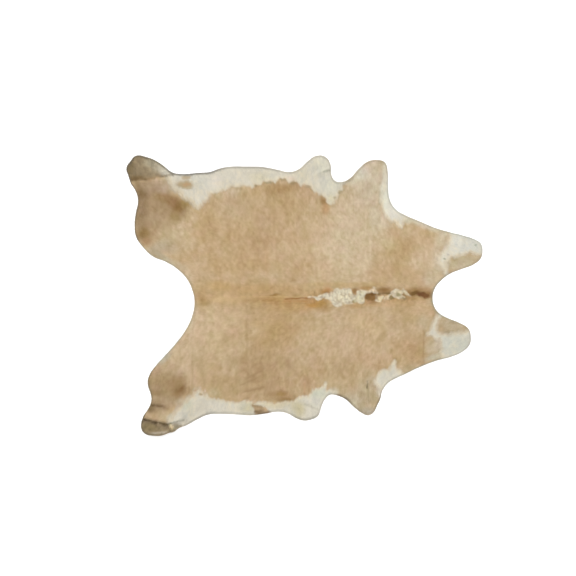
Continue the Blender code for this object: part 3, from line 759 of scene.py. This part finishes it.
def shaded(colour, x, y, places, wander):
    """Hair of one colour dyed at each place of a table: e to minus the cubed share of its half sizes."""
    coat = np.array(colour)
    for _, cx, cy, half_length, half_width, shade, strength, *turn in places:
        place = cx, cy, half_length, half_width
        spread = SHADE_REACH * max(half_length, half_width)
        near = (np.abs(x - cx) < spread) & (np.abs(y - cy) < spread)
        loose = np.clip((min(half_length, half_width) - FIRM_UNDER) / LOOSE_OVER, LEAST_WANDER, 1)
        out = blot(x[near], y[near], place, [way[near] * loose for way in wander], *turn)
        coat[near] = dyed(coat[near], linear(shade), strength * np.exp(-SHADE_FALL * out**3))
    return coat


def reach_in_rings(x, y, rings, teeth):
    """How far each point lies inside the nearest frayed white ring, in mm, and its share of white hairs."""
    reach, white = np.full(len(x), FAR_OUT), np.zeros(len(x))
    for _, fray, blend, ring in rings:
        ring = np.array(ring, float)
        low, high = ring.min(0) - RING_MARGIN, ring.max(0) + RING_MARGIN
        near = (x > low[0]) & (x < high[0]) & (y > low[1]) & (y < high[1])
        inside, _ = reach_inside(x[near], y[near], ring)
        inside += fray * teeth[near]
        reach[near] = np.maximum(reach[near], inside)
        white[near] = np.maximum(white[near], np.clip(inside / blend + 0.5, 0, 1))
    return reach, white


def tan_hair(x, y, look, odd):
    """Tan hair: mottled towards pale and reddish tan, browner along the spine, and shaded at each place."""
    coat = np.broadcast_to(TAN, (len(x), 3)).copy()
    coat = clouded(clouded(coat, "pale tan", look), "reddish tan", look)
    coat = dyed(coat, BACK_BROWN, SPINE_SHARE * bell(y - SPINE_Y, SPINE_HALF_WIDTH))
    coat = shaded(coat, x, y, SHADES, look["wander"])
    return coat * (1 + tone("tan", look, odd) * TONE_CHANNELS + look["hue"][:, None] * HUE_CHANNELS)


def white_hair(x, y, look, odd, inside):
    """White hair: clouded with cream and cool grey, creamy at its border, with brown curls on the back."""
    pale = shaded(np.broadcast_to(WHITE, (len(x), 3)), x, y, WHITE_SHADES, look["wander"])
    pale = clouded(clouded(pale, "cream", look), "cool grey", look)
    pale = dyed(pale, CREAM, CREAM_SHARE * bell(inside - CREAM_INSIDE, CREAM_WIDTH))
    on_back = (np.abs(y) < BACK_HALF_WIDTH) & (x > 0)
    roan = (look["curls"] + ROAN_BY_HAIR * odd - ROAN_STARTS) / ROAN_BLEND
    share = ROAN_SHARE * np.clip(roan, 0, 1) * on_back
    return dyed(pale * (WHITE_LEVEL + tone("white", look, odd)), ROAN_BROWN, share)


def coat_colours(x, y, odd):
    """Each point's hair colour, linear: tan, then white inside the ragged rings with a brown border, taupe
    beyond the shanks' creases, the belly's patch, marks, and streaks, some of them painted shade and painted
    light along folds and creases. odd is each hair's own number, from -1 to 1, so that neighbours differ."""
    look = {pattern: mottles(x, y, *layers) for pattern, layers in PATTERNS.items()}
    look["partings"] = np.clip((PARTING_WIDTH - np.abs(look["partings"])) / PARTING_WIDTH, 0, 1)
    look["wander"] = look["wander x"], look["wander y"]
    teeth = look["teeth"]

    coat = tan_hair(x, y, look, odd)
    inside, white = reach_in_rings(x, y, WHITE_RINGS, teeth)
    white = np.clip(white + MIXED_BY_HAIR * odd * (1 - np.abs(2 * white - 1)), 0, 1)
    border = BORDER_SHARE * bell(inside + BORDER_WIDTH, BORDER_WIDTH)
    coat = dyed(coat, BORDER_BROWN, border * np.clip(BORDER_EVEN + teeth, 0, BORDER_MOST))
    coat = dyed(coat, white_hair(x, y, look, odd, inside), white)

    taupe = shaded(np.broadcast_to(SHANK_TAUPE, (len(x), 3)), x, y, SHANK_SHADES, look["wander"])
    taupe = taupe * (1 + tone("taupe", look, odd))
    for _, x1, y1, x2, y2, *_ in TURN_UPS:
        along, away = along_and_away(x, y, x1, y1, x2, y2)
        beyond = away if y1 > 0 else -away
        facing = np.clip((CREASE_STOPS - along) / CREASE_FADES, 0, 1)
        share = np.clip((beyond + TAUPE_FRAY * teeth) / TAUPE_BLEND, 0, 1) * facing
        coat = dyed(coat, taupe, TAUPE_SHARE * share)

    on_patch, _ = reach_inside(x, y, np.array(BELLY_PATCH, float))
    patch = PATCH_TAN * (1 + tone("patch", look, odd))
    share = np.clip((on_patch + PATCH_FRAY * teeth) / PATCH_BLEND + 0.5, 0, 1)
    coat = dyed(coat, patch, PATCH_SHARE * share)
    for _, cx, cy, half_length, half_width, colour, fray, *turn in MARKS:
        out = blot(x, y, (cx, cy, half_length, half_width), (fray * teeth, fray * teeth), *turn)
        share = np.clip((MARK_ENDS - out + MARK_BY_HAIR * odd) / MARK_FADES, 0, 1)
        coat = dyed(coat, linear(colour), MARK_SHARE * share)
    for _, x1, y1, x2, y2, half_width, colour, strength in STREAKS:
        along, away = along_and_away(x, y, x1, y1, x2, y2)
        over = np.maximum(np.abs(along - 0.5) - 0.5, 0.0) * math.hypot(x2 - x1, y2 - y1)
        share = bell(np.hypot(away + STREAK_FRAY * teeth, over), half_width)
        share *= np.clip(STREAK_LEVEL + STREAK_GAPS * teeth, 0, 1)
        coat = dyed(coat, linear(colour), strength * share)
    return coat


def rim_with_painted_shade(coat, x, y, reach):
    """The coat with painted shade along the cut edge, a dark line 5 to 8 mm wide, darker or greyer at places.
    """
    rim = np.clip((RIM_WIDTH + mottles(x, y, RIM_WAVE) - reach) / RIM_BLEND, 0, 1)
    coat = dyed(coat, RIM_GREY, RIM_SHARE * rim)
    for _, cx, cy, half_length, half_width, colour, strength, *turn in RIMS:
        out = blot(x, y, (cx, cy, half_length, half_width), (0, 0), *turn)
        coat = dyed(coat, linear(colour), strength * rim * np.clip((RIM_ENDS - out) / RIM_FADES, 0, 1))
    return coat


def placed(name, data):
    """A new object that holds the data, put in the scene."""
    thing = bpy.data.objects.new(name, data)
    bpy.context.scene.collection.objects.link(thing)
    return thing


def mesh_of(name, points, triangles, shades=None):
    """A piece made of arrays: corners in mm, triangles as rows of corner numbers, and a colour a corner."""
    mesh = bpy.data.meshes.new(name)
    mesh.vertices.add(len(points))
    mesh.vertices.foreach_set("co", (points * MM).astype(np.float32).ravel())
    mesh.loops.add(triangles.size)
    mesh.loops.foreach_set("vertex_index", triangles.astype(np.int32).ravel())
    mesh.polygons.add(len(triangles))
    mesh.polygons.foreach_set("loop_start", np.arange(0, triangles.size, 3, dtype=np.int32))
    if shades is not None:
        layer = mesh.color_attributes.new("coat", "FLOAT_COLOR", "POINT")
        layer.data.foreach_set("color", np.c_[shades, np.ones(len(shades))].astype(np.float32).ravel())
    mesh.update(calc_edges=True)
    return placed(name, mesh)


def node(tree, kind, inputs=(), **settings):
    """Adds one node with its settings, and sets or links the inputs given as (socket, value) pairs."""
    added = tree.nodes.new(kind)
    for setting, value in settings.items():
        setattr(added, setting, value)
    for socket, value in inputs:
        if isinstance(value, bpy.types.NodeSocket):
            tree.links.new(value, added.inputs[socket])
        else:
            added.inputs[socket].default_value = value
    return added


def new_finish(name):
    """An empty material and its tree, ready for a shader."""
    finish = bpy.data.materials.new(name)
    finish.use_nodes = True
    finish.node_tree.nodes.clear()
    return finish, finish.node_tree


def bumps(tree, size, detail, strength, height):
    """Which way a surface faces when it is roughened by noise; the noise's size and height are in mm."""
    place = node(tree, "ShaderNodeTexCoord")
    rough = node(tree, "ShaderNodeTexNoise", [
        ("Vector", place.outputs["Object"]), ("Scale", 1 / (size * MM)), ("Detail", detail),
    ])
    bump = node(tree, "ShaderNodeBump", [
        ("Height", rough.outputs[0]), ("Strength", strength), ("Distance", height * MM),
    ])
    return bump.outputs["Normal"]


def shine(tree, inputs):
    """Gives the material its shader, with these inputs."""
    shader = node(tree, "ShaderNodeBsdfPrincipled", inputs)
    node(tree, "ShaderNodeOutputMaterial", [("Surface", shader.outputs["BSDF"])])


ROOT_LIGHT = (0.72, 0.70, 0.68)  # the shares of red, green and blue light that reach the roots


def hair_roots_finish():
    """The coat side under the hairs: the hairs' colours, darker where the light doesn't reach, and dull. Its
    strands are drawn 3 mm wide, because real ones are too fine to show."""
    finish, tree = new_finish("hair_roots")
    shade = node(tree, "ShaderNodeVertexColor", layer_name="coat")
    darker = node(tree, "ShaderNodeMix", [
        ("Factor", 1.0), ("A", shade.outputs["Color"]), ("B", (*ROOT_LIGHT, 1)),
    ], data_type="RGBA", blend_type="MULTIPLY")
    strands = bumps(tree, size=3, detail=3.0, strength=0.5, height=1)
    shine(tree, [("Base Color", darker.outputs["Result"]), ("Roughness", 0.85), ("Normal", strands)])
    return finish


def buffed_suede():
    """Chrome-tanned leather, its flesh side buffed: a pale beige-grey nap with cloudy patches, quite matt.
    The nap is drawn 2 mm wide, because the real one is too fine to show."""
    finish, tree = new_finish("buffed_suede")
    place = node(tree, "ShaderNodeTexCoord")
    clouds = node(tree, "ShaderNodeTexNoise", [
        ("Vector", place.outputs["Object"]), ("Scale", 1 / (120 * MM)), ("Detail", 5.0),
    ])
    ramp = node(tree, "ShaderNodeValToRGB", [("Fac", clouds.outputs[0])])
    for stop, position, colour in zip(ramp.color_ramp.elements, (0.35, 0.65), ("#b3a996", "#cfc8b8")):
        stop.position = position
        stop.color = (*linear(colour), 1)
    nap = bumps(tree, size=2, detail=4.0, strength=0.4, height=0.5)
    shine(tree, [("Base Color", ramp.outputs["Color"]), ("Roughness", 0.9), ("Normal", nap)])
    return finish


edge_ring = trimmed_edge()
plan_low, plan_high = edge_ring.min(0) - 2 * SKIN_CELL, edge_ring.max(0) + 2 * SKIN_CELL
columns = np.arange(plan_low[0], plan_high[0] + SKIN_CELL, SKIN_CELL)
rows = np.arange(plan_low[1], plan_high[1] + SKIN_CELL, SKIN_CELL)
grid_x, grid_y = (part.ravel() for part in np.meshgrid(columns, rows))
grid_reach, grid_foot = reach_inside(grid_x, grid_y, edge_ring)


def reach_on_plan(x, y):
    """The distance inside the edge, weighed between the four nearest points of the plan's net. A place past
    the net's end is held just inside its last square."""
    net = grid_reach.reshape(len(rows), len(columns))
    u = np.clip((x - columns[0]) / SKIN_CELL, 0, len(columns) - 1.001)
    v = np.clip((y - rows[0]) / SKIN_CELL, 0, len(rows) - 1.001)
    i, j = u.astype(int), v.astype(int)
    u, v = u - i, v - j
    low = net[j, i] * (1 - u) + net[j, i + 1] * u
    return low * (1 - v) + (net[j + 1, i] * (1 - u) + net[j + 1, i + 1] * u) * v


def trimmed_plan():
    """The skin's plan as triangles: its corners, the triangles and the sides on the rim. Squares whose
    corners are all within half a square of the hide are kept whole, and those with one corner out keep the
    other half. The corners on the rim are drawn to the nearest place on the edge."""
    numbers = np.arange(len(grid_x)).reshape(len(rows), len(columns))
    around = numbers[:-1, :-1], numbers[:-1, 1:], numbers[1:, 1:], numbers[1:, :-1]
    cells = np.stack(around, -1).reshape(-1, 4)
    kept = (grid_reach > -0.5 * SKIN_CELL)[cells]
    whole = cells[kept.all(1)]
    faces = [whole[:, [0, 1, 2]], whole[:, [0, 2, 3]]]
    for out in range(4):
        halved = cells[(kept.sum(1) == 3) & ~kept[:, out]]
        faces.append(halved[:, [(out + 1) % 4, (out + 2) % 4, (out + 3) % 4]])
    faces = np.concatenate(faces)
    used, faces = np.unique(faces, return_inverse=True)
    faces = faces.reshape(-1, 3)
    sides = faces[:, [0, 1, 1, 2, 2, 0]].reshape(-1, 2)
    key = np.sort(sides, 1) @ (len(used), 1)
    _, first, count = np.unique(key, return_index=True, return_counts=True)
    rim = sides[first[count == 1]]
    corners = np.c_[grid_x, grid_y][used]
    on_rim = np.unique(rim)
    corners[on_rim] = grid_foot[used][on_rim]
    return corners, faces, rim


corners, coat_side, rim = trimmed_plan()
under = relief(corners[:, 0], corners[:, 1])
count = len(corners)
skin_points = np.r_[np.c_[corners, under + LEATHER], np.c_[corners, under]]
flesh_side = coat_side[:, ::-1] + count
cut_edge = np.r_[
    np.c_[rim[:, 0], rim[:, 0] + count, rim[:, 1] + count],
    np.c_[rim[:, 0], rim[:, 1] + count, rim[:, 1]],
]
skin_reach = reach_on_plan(corners[:, 0], corners[:, 1])
skin_shades = coat_colours(corners[:, 0], corners[:, 1], np.zeros(count))
skin_shades = rim_with_painted_shade(skin_shades, corners[:, 0], corners[:, 1], skin_reach)
skin = mesh_of("skin", skin_points, np.r_[coat_side, flesh_side, cut_edge], np.tile(skin_shades, (2, 1)))
skin.data.materials.append(hair_roots_finish())
skin.data.materials.append(buffed_suede())
finish_of_face = np.r_[np.zeros(len(coat_side), int), np.ones(len(flesh_side) + len(cut_edge), int)]
skin.data.polygons.foreach_set("material_index", finish_of_face)
skin.data.shade_smooth()
skin.data.update()
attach(skin, "root")
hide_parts("hide")

# The coat
# A cow's short summer hair, 15 to 20 mm long, lying flat on the skin: back from the neck, outwards over the
# ribs and down the legs. Each blade stands for a small lock of some tens of hairs.

HAIR_SEED = 7
HAIR_SPACING = 1.9
HAIR_WIDTH = 1.5
HAIR_LENGTH, LENGTH_VARIES = 18.0, 0.18
HAIR_LIFT, LIFT_VARIES = 2.2, 0.35  # how high the tip lies over the skin
LIFT_WAVE = (0.25, 16, 1, 24)  # as one of the mottles
ROOT_LIFT = 0.2
ROOT_INSET = 0.5  # the outermost hairs grow this far inside the edge
HAIR_ROLL = 0.35  # of half the width: how far one root corner may stand over the other
HAIR_STRAY = 9  # degrees from the lay, as a rule
EDGE_HAIR, EDGE_VARIES = 2.0, 0.5  # how far the trimmed hairs stand out past the leather's edge
LEAST_LOSS = 0.01  # keeps the cut of a hair that runs along the edge from dividing by nothing
CURLS = (-10, 720, 60, -4, 48)  # from X, to X, fading over, and Y and half width of the strip with the whorls
# CURL_LIGHTENS is painted light: the whorled hair is made lighter to make up for the shade its whorls cast.
CURL_SHORTENS, CURL_LIFTS, CURL_LIGHTENS = 0.5, 0.6, 0.14
LAY_STIR = ((12, 130, 1, 21), (10, 38, 1, 22), (8, 13, 1, 23))  # mottles whose strength is in degrees
CURL_STIR = ((170, 24, 1, 25), (60, 11, 1, 26))
LAY_BLEND = 30  # mm round a place, within which it sets the lay alone
PARTING_HALF_WIDTH = 60  # the hair lies straight back on the spine, and leans fully outwards this far from it
SHOWN = 0.65  # the part of a hair that shows among its neighbours is about here between root and tip
ROOT_SHADE = 0.92  # hairs shade each other, so their tips are lighter than the marking's colour
TIP_SHADE = (1.18, 1.20, 1.19)
STRIPS = ("hind_coat", "loin_coat", "rib_coat", "fore_coat")
HAIR_LAY = (
    # place, forward, out, degrees out from straight back
    ("tail", -700, 0, 2),
    ("loin", -300, 0, 4),
    ("withers", 250, 0, 5),
    ("crest", 780, 0, 6),
    ("rump", -600, 300, 30),
    ("thigh", -850, 350, 40),
    ("hock", -1020, 480, 58),
    ("shank", -1060, 830, 62),
    ("stifle", -700, 720, 66),
    ("flank", -350, 420, 52),
    ("hind belly", -350, 780, 74),
    ("ribs", 80, 380, 56),
    ("elbow flap", 80, 820, 80),
    ("shoulder", 420, 330, 58),
    ("fore leg", 440, 760, 88),
    ("neck side", 760, 250, 40),
    ("cheek", 1020, 300, 24),
)


def curl(x, y):
    """How curly the hair is, from 0 to 1: e to minus the fourth power of the share of the strip's half
    width, along the back from the withers to the crest, where the white hairs grow in small whorls."""
    start, stop, fade, middle, half_width = CURLS
    strip = np.exp(-((((y - middle) / half_width) ** 2) ** 2))
    return strip * np.clip((x - start) / fade, 0, 1) * np.clip((stop - x) / fade, 0, 1)


def hair_lay(x, y):
    """The direction in which the hair lies, as an angle on the plan: the places' angles, weighed by one
    over the distance to the fourth power, turned outwards on either side of the back, and stirred a
    little."""
    out = np.abs(y - SPINE_Y)
    total, lean = np.zeros_like(x), np.zeros_like(x)
    for _, forward, away, degrees in HAIR_LAY:
        weight = 1 / ((x - forward) ** 2 + (out - away) ** 2 + LAY_BLEND**2) ** 2
        total += weight
        lean += weight * degrees
    lean = lean / total * np.clip(out / PARTING_HALF_WIDTH, 0, 1)
    stir = mottles(x, y, *LAY_STIR) + curl(x, y) * mottles(x, y, *CURL_STIR)
    return np.pi - np.sign(y - SPINE_Y) * np.radians(lean) + np.radians(stir)


def hair_roots(random):
    """Places for the blades: a square net, each point moved within its square, kept where it's on skin."""
    low, high = edge_ring.min(0), edge_ring.max(0)
    x, y = np.meshgrid(*(np.arange(low[way], high[way], HAIR_SPACING) for way in (0, 1)))
    x = (x + random.uniform(-0.5, 0.5, x.shape) * HAIR_SPACING).ravel()
    y = (y + random.uniform(-0.5, 0.5, y.shape) * HAIR_SPACING).ravel()
    on_skin = reach_on_plan(x, y) > ROOT_INSET
    x, y = x[on_skin], y[on_skin]
    order = np.argsort(x, kind="stable")
    return x[order], y[order]


def combed_hair():
    """The blades as corners and colours: a triangle whose two root corners stand on the skin across the
    lay, and whose tip lies a hair's length along it, lifted off the skin there. A hair that would pass the
    edge is cut."""
    random = np.random.default_rng(HAIR_SEED)
    x, y = hair_roots(random)
    reach = reach_on_plan(x, y)
    odd = random.uniform(-1, 1, len(x))
    heading = hair_lay(x, y) + np.radians(random.normal(0, HAIR_STRAY, len(x)))
    longer = LENGTH_VARIES * random.normal(0, 1, len(x)).clip(-2, 2)
    curled = curl(x, y)
    length = HAIR_LENGTH * (1 + longer) * (1 - CURL_SHORTENS * curled)
    ahead = np.c_[np.cos(heading), np.sin(heading)]
    losing = reach - reach_on_plan(x + ahead[:, 0] * length, y + ahead[:, 1] * length)
    trimmed = length * (reach + EDGE_HAIR * (1 + EDGE_VARIES * odd)) / np.maximum(losing, LEAST_LOSS)
    length = np.where(losing > 0, np.minimum(length, trimmed), length)
    across = np.c_[-ahead[:, 1], ahead[:, 0]] * HAIR_WIDTH / 2
    roots = np.c_[x, y]
    tips = roots + ahead * length[:, None]
    roll = random.uniform(-HAIR_ROLL, HAIR_ROLL, len(x)) * HAIR_WIDTH / 2
    top = LEATHER + relief(x, y)
    lift = HAIR_LIFT * (1 + LIFT_VARIES * odd + mottles(x, y, LIFT_WAVE)) * (1 + CURL_LIFTS * curled)
    tip_height = LEATHER + relief(tips[:, 0], tips[:, 1]) + lift
    corners = np.stack([
        np.c_[roots - across, top - roll + ROOT_LIFT],
        np.c_[tips, tip_height],
        np.c_[roots + across, top + roll + ROOT_LIFT],
    ], 1)
    shown = roots + ahead * SHOWN * length[:, None]
    shades = coat_colours(shown[:, 0], shown[:, 1], odd) * (1 + CURL_LIGHTENS * curled)[:, None]
    at_root = rim_with_painted_shade(shades * ROOT_SHADE, x, y, reach)
    at_tip = rim_with_painted_shade(shades * TIP_SHADE, tips[:, 0], tips[:, 1], reach_on_plan(tips[:, 0], tips[:, 1]))
    return corners, np.stack([at_root, at_tip, at_root], 1)


def lying_hair():
    """Cow hair, smooth keratin: brown pigment under clear scales, so a soft sheen at a low angle."""
    finish, tree = new_finish("lying_hair")
    shade = node(tree, "ShaderNodeVertexColor", layer_name="coat")
    shine(tree, [
        ("Base Color", shade.outputs["Color"]), ("Roughness", 0.6), ("IOR", 1.55),
        ("Specular IOR Level", 0.2), ("Sheen Weight", 0.08), ("Sheen Roughness", 0.5),
    ])
    return finish


hair_corners, hair_shades = combed_hair()
hair_finish = lying_hair()
for strip, blades in zip(STRIPS, np.array_split(np.arange(len(hair_corners)), len(STRIPS))):
    points = hair_corners[blades].reshape(-1, 3)
    piece = mesh_of(strip, points, np.arange(len(points)).reshape(-1, 3), hair_shades[blades].reshape(-1, 3))
    low, high = points[:, :2].min(0), points[:, :2].max(0)
    plan_map = piece.data.uv_layers.new(name="OFBake")
    plan_map.data.foreach_set("uv", ((points[:, :2] - low) / (high - low)).astype(np.float32).ravel())
    piece.data.materials.append(hair_finish)
    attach(piece, "root")

# The studio
# A plain white floor with a soft glow, so that no shadow shows, a soft sky all round and two large lamps. The
# camera is straight above the rug.

FRAME_WIDTH = 3.686  # metres of floor across the picture
LENS, SENSOR = 85.0, 36.0
LOOK_AT = (-0.106, 0.050)  # the point of the floor in the picture's middle
FLOOR_HALF = 30.0  # metres
SKY_STRENGTH = 0.75

floor_corners = np.array([[-1, -1, 0], [1, -1, 0], [1, 1, 0], [-1, 1, 0]]) * FLOOR_HALF / MM
floor = mesh_of("floor", floor_corners, np.array([[0, 1, 2], [0, 2, 3]]))
white_paint, paint_tree = new_finish("white_paint")  # matt wall paint, glowing a little as a light table does
shine(paint_tree, [
    ("Base Color", (*linear("#f7f7f7"), 1)), ("Roughness", 0.9),
    ("Emission Color", (*linear("#ffffff"), 1)), ("Emission Strength", 0.25),
])
floor.data.materials.append(white_paint)

sky = bpy.data.worlds.new("soft_sky")
sky.use_nodes = True
background = sky.node_tree.nodes["Background"].inputs
background["Color"].default_value = (1.0, 1.0, 1.0, 1.0)
background["Strength"].default_value = SKY_STRENGTH
bpy.context.scene.world = sky

LAMPS = (
    # lamp, x, y, z, size, watts
    ("key", -6.0, 6.0, 9.0, 5.0, 700),
    ("fill", 3.0, -2.2, 4.4, 2.4, 68),
)
for name, x, y, z, size, watts in LAMPS:
    lamp = bpy.data.lights.new(name, "AREA")
    lamp.size = size
    lamp.energy = watts
    stand = placed(name, lamp)
    stand.location = (x, y, z)
    stand.rotation_euler = (-stand.location).to_track_quat("-Z", "Y").to_euler()

camera = bpy.data.cameras.new("overhead")
camera.lens = LENS
camera.sensor_width = SENSOR
overhead = placed("overhead", camera)
overhead.location = (*LOOK_AT, FRAME_WIDTH * LENS / SENSOR)
bpy.context.scene.camera = overhead
bpy.context.scene.view_settings.view_transform = "Standard"
